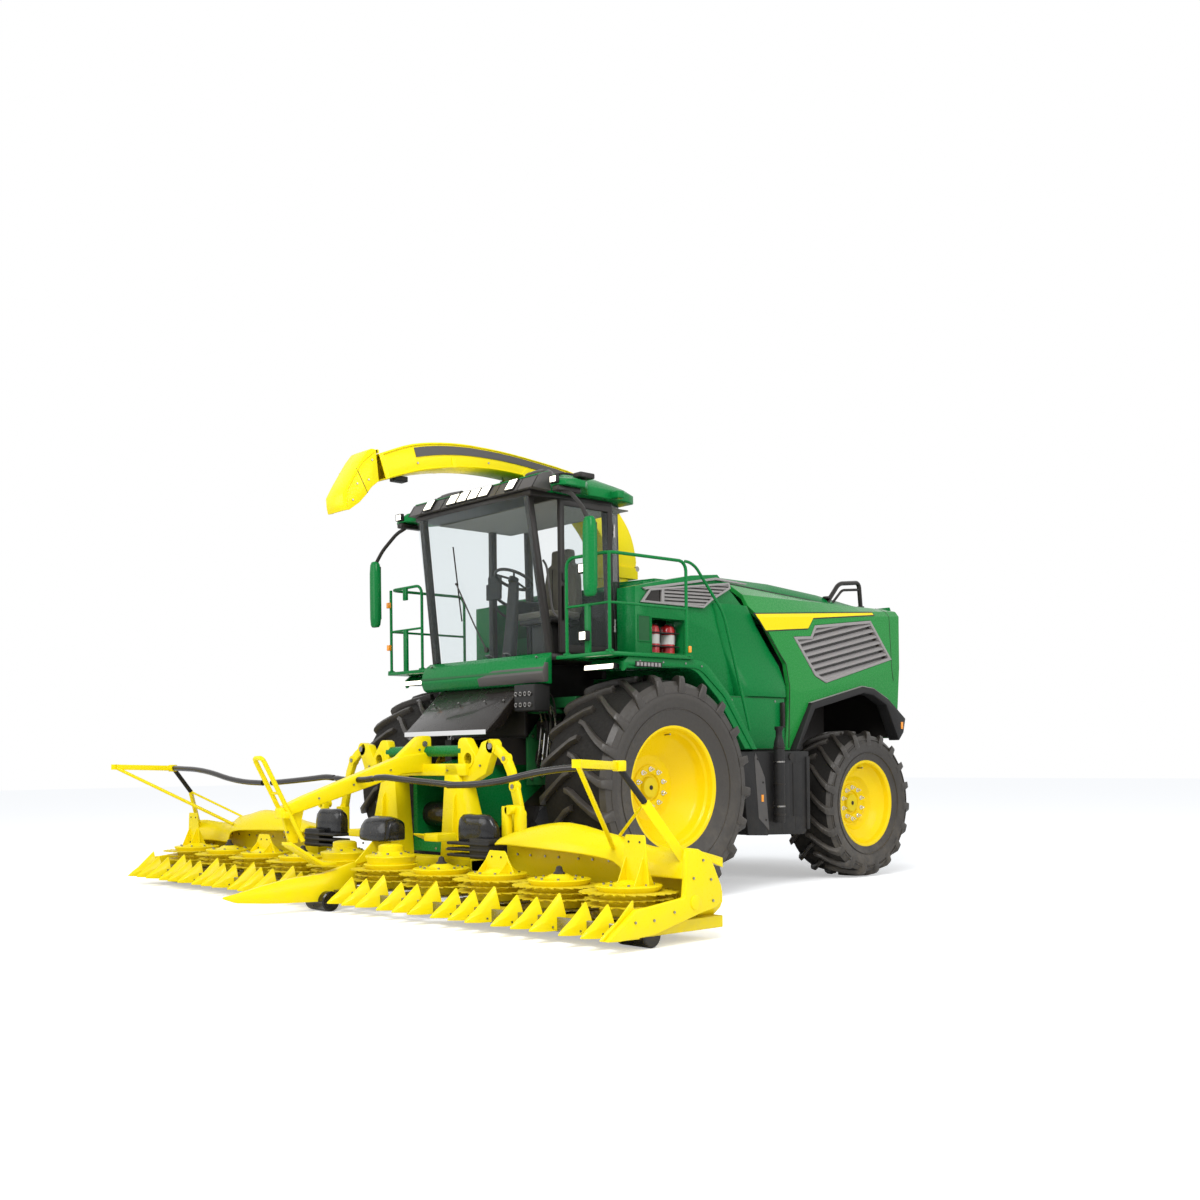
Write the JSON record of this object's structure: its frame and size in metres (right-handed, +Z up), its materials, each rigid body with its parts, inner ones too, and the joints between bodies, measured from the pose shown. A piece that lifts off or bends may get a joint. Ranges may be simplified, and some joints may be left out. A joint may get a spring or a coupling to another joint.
{
  "type": "forage harvester",
  "caption": "Self-propelled forage harvester: rotary row header, feeder, glazed cab, engine hood, steered rear wheels and an arched discharge spout.",
  "frame": {"origin": "on the ground, under the middle of the machine's whole box", "axes": "+X to the machine's left, +Y to its rear along its length, +Z up"},
  "size_m": [7.42, 8.42, 4.272],
  "materials": {
    "green_paint": "glossy green paint",
    "yellow_paint": "glossy yellow paint",
    "tyre_rubber": "matt black rubber",
    "dark_frame": "satin black paint",
    "dark_plastic": "textured black plastic",
    "grey_louvre": "satin dark grey",
    "tinted_glass": "clear, green tint",
    "lamp_lens": "clear lamp lens",
    "red_paint": "glossy red",
    "bare_steel": "dark steel, worn bright"
  },
  "bodies": {
    "chassis": {"main_frame": "dark_frame", "front_axle": "dark_frame", "rear_axle": "dark_frame", "engine_block": "dark_frame", "hood_shell": "green_paint", "intake_grilles": "grey_louvre", "front_bodies": "green_paint", "lower_boxes": "dark_plastic", "cab_frame": "dark_frame", "cab_front_panel": "green_paint", "cab_glass": "tinted_glass", "cab_roof": "green_paint", "roof_trim": "dark_plastic", "cab_interior": "dark_plastic", "platforms": "green_paint", "lamps": "lamp_lens", "extinguishers": "red_paint", "rear_weight": "dark_frame", "cab_hood": "dark_plastic", "roof_guards": "dark_plastic"},
    "cover_left": {"side_cover_left": "green_paint", "cover_trim_left": "grey_louvre"},
    "cover_right": {"side_cover_right": "green_paint", "cover_trim_right": "grey_louvre"},
    "cab_door": {"cab_door_frame": "dark_plastic", "cab_door_glass": "tinted_glass"},
    "front_wheel_left": {"front_tyre_left": "tyre_rubber", "front_rim_left": "yellow_paint"},
    "front_wheel_right": {"front_tyre_right": "tyre_rubber", "front_rim_right": "yellow_paint"},
    "knuckle_left": {"rear_knuckle_left": "dark_frame"},
    "knuckle_right": {"rear_knuckle_right": "dark_frame"},
    "rear_wheel_left": {"rear_tyre_left": "tyre_rubber", "rear_rim_left": "yellow_paint"},
    "rear_wheel_right": {"rear_tyre_right": "tyre_rubber", "rear_rim_right": "yellow_paint"},
    "spout_turret": {"spout_foot": "yellow_paint"},
    "spout": {"spout_chute": "yellow_paint", "spout_strip": "dark_plastic"},
    "spout_deflector": {"spout_flap": "yellow_paint"},
    "header": {"feeder_house": "green_paint", "header_frame": "yellow_paint", "centre_deck": "yellow_paint", "header_trim": "bare_steel", "header_flaps": "dark_plastic"},
    "feed_roll": {"feed_roll": "bare_steel"},
    "wing_left": {"wing_deck_left": "yellow_paint", "wing_guard_left": "bare_steel"},
    "wing_right": {"wing_deck_right": "yellow_paint", "wing_guard_right": "bare_steel"},
    "rotor_left_1": {"rotor_left_1": "yellow_paint"},
    "rotor_left_2": {"rotor_left_2": "yellow_paint"},
    "rotor_left_3": {"rotor_left_3": "yellow_paint"},
    "rotor_left_4": {"rotor_left_4": "yellow_paint"},
    "rotor_left_5": {"rotor_left_5": "yellow_paint"},
    "rotor_right_1": {"rotor_right_1": "yellow_paint"},
    "rotor_right_2": {"rotor_right_2": "yellow_paint"},
    "rotor_right_3": {"rotor_right_3": "yellow_paint"},
    "rotor_right_4": {"rotor_right_4": "yellow_paint"},
    "rotor_right_5": {"rotor_right_5": "yellow_paint"}
  },
  "joints": [
    {"name": "front_wheel_left_roll", "type": "hinge", "parent": "chassis", "child": "front_wheel_left", "pos_m": [1.445, -0.65, 1.03], "axis": [1, 0, 0], "continuous": true},
    {"name": "rear_steer_left", "type": "hinge", "parent": "chassis", "child": "knuckle_left", "pos_m": [0.85, 2.67, 0.79], "axis": [0, 0, 1], "range_deg": [-28, 28]},
    {"name": "rear_wheel_left_roll", "type": "hinge", "parent": "knuckle_left", "child": "rear_wheel_left", "pos_m": [1.25, 2.67, 0.79], "axis": [1, 0, 0], "continuous": true},
    {"name": "side_cover_left", "type": "hinge", "parent": "chassis", "child": "cover_left", "pos_m": [0.95, 2.305, 3.0165], "axis": [0, -0.9984, 0.0572], "range_deg": [0, 60]},
    {"name": "front_wheel_right_roll", "type": "hinge", "parent": "chassis", "child": "front_wheel_right", "pos_m": [-1.445, -0.65, 1.03], "axis": [1, 0, 0], "continuous": true},
    {"name": "rear_steer_right", "type": "hinge", "parent": "chassis", "child": "knuckle_right", "pos_m": [-0.85, 2.67, 0.79], "axis": [0, 0, 1], "range_deg": [-28, 28]},
    {"name": "rear_wheel_right_roll", "type": "hinge", "parent": "knuckle_right", "child": "rear_wheel_right", "pos_m": [-1.25, 2.67, 0.79], "axis": [1, 0, 0], "continuous": true},
    {"name": "side_cover_right", "type": "hinge", "parent": "chassis", "child": "cover_right", "pos_m": [-0.95, 2.305, 3.0165], "axis": [0, 0.9984, -0.0572], "range_deg": [0, 60]},
    {"name": "cab_door", "type": "hinge", "parent": "chassis", "child": "cab_door", "pos_m": [0.955, -0.568, 3], "axis": [0, 0, 1], "range_deg": [0, 68]},
    {"name": "spout_turn", "type": "hinge", "parent": "chassis", "child": "spout_turret", "pos_m": [0, 0.35, 3.1], "axis": [0, 0, 1], "range_deg": [-100, 100]},
    {"name": "spout_lift", "type": "hinge", "parent": "spout_turret", "child": "spout", "pos_m": [0, 0.54, 3.285], "axis": [-1, 0, 0], "range_deg": [0, 22]},
    {"name": "spout_deflect", "type": "hinge", "parent": "spout", "child": "spout_deflector", "pos_m": [0, -2.702, 4.068], "axis": [-1, 0, 0], "range_deg": [-8, 40]},
    {"name": "header_lift", "type": "hinge", "parent": "chassis", "child": "header", "pos_m": [0, -0.95, 1.3], "axis": [-1, 0, 0], "range_deg": [0, 12]},
    {"name": "feed_roll_turn", "type": "hinge", "parent": "header", "child": "feed_roll", "pos_m": [0, -1.84, 0.79], "axis": [1, 0, 0], "continuous": true},
    {"name": "wing_fold_left", "type": "hinge", "parent": "header", "child": "wing_left", "pos_m": [1.46, -2.28, 0.88], "axis": [0, -1, 0], "range_deg": [0, 90]},
    {"name": "wing_fold_right", "type": "hinge", "parent": "header", "child": "wing_right", "pos_m": [-1.46, -2.28, 0.88], "axis": [0, 1, 0], "range_deg": [0, 90]},
    {"name": "rotor_left_1_turn", "type": "hinge", "parent": "header", "child": "rotor_left_1", "pos_m": [0.365, -2.77, 0.3], "axis": [0, 0, 1], "continuous": true},
    {"name": "rotor_left_2_turn", "type": "hinge", "parent": "header", "child": "rotor_left_2", "pos_m": [1.095, -2.77, 0.3], "axis": [0, 0, 1], "continuous": true},
    {"name": "rotor_left_3_turn", "type": "hinge", "parent": "wing_left", "child": "rotor_left_3", "pos_m": [1.825, -2.77, 0.3], "axis": [0, 0, 1], "continuous": true},
    {"name": "rotor_left_4_turn", "type": "hinge", "parent": "wing_left", "child": "rotor_left_4", "pos_m": [2.555, -2.77, 0.3], "axis": [0, 0, 1], "continuous": true},
    {"name": "rotor_left_5_turn", "type": "hinge", "parent": "wing_left", "child": "rotor_left_5", "pos_m": [3.285, -2.77, 0.3], "axis": [0, 0, 1], "continuous": true},
    {"name": "rotor_right_1_turn", "type": "hinge", "parent": "header", "child": "rotor_right_1", "pos_m": [-0.365, -2.77, 0.3], "axis": [0, 0, 1], "continuous": true},
    {"name": "rotor_right_2_turn", "type": "hinge", "parent": "header", "child": "rotor_right_2", "pos_m": [-1.095, -2.77, 0.3], "axis": [0, 0, 1], "continuous": true},
    {"name": "rotor_right_3_turn", "type": "hinge", "parent": "wing_right", "child": "rotor_right_3", "pos_m": [-1.825, -2.77, 0.3], "axis": [0, 0, 1], "continuous": true},
    {"name": "rotor_right_4_turn", "type": "hinge", "parent": "wing_right", "child": "rotor_right_4", "pos_m": [-2.555, -2.77, 0.3], "axis": [0, 0, 1], "continuous": true},
    {"name": "rotor_right_5_turn", "type": "hinge", "parent": "wing_right", "child": "rotor_right_5", "pos_m": [-3.285, -2.77, 0.3], "axis": [0, 0, 1], "continuous": true}
  ],
  "couplings": [
    {"joint": "rear_steer_right", "follows": "rear_steer_left", "ratio": 1},
    {"joint": "rotor_left_2_turn", "follows": "rotor_left_1_turn", "ratio": 1},
    {"joint": "rotor_left_3_turn", "follows": "rotor_left_1_turn", "ratio": 1},
    {"joint": "rotor_left_4_turn", "follows": "rotor_left_1_turn", "ratio": 1},
    {"joint": "rotor_left_5_turn", "follows": "rotor_left_1_turn", "ratio": 1},
    {"joint": "rotor_right_1_turn", "follows": "rotor_left_1_turn", "ratio": -1},
    {"joint": "rotor_right_2_turn", "follows": "rotor_left_1_turn", "ratio": -1},
    {"joint": "rotor_right_3_turn", "follows": "rotor_left_1_turn", "ratio": -1},
    {"joint": "rotor_right_4_turn", "follows": "rotor_left_1_turn", "ratio": -1},
    {"joint": "rotor_right_5_turn", "follows": "rotor_left_1_turn", "ratio": -1}
  ]
}
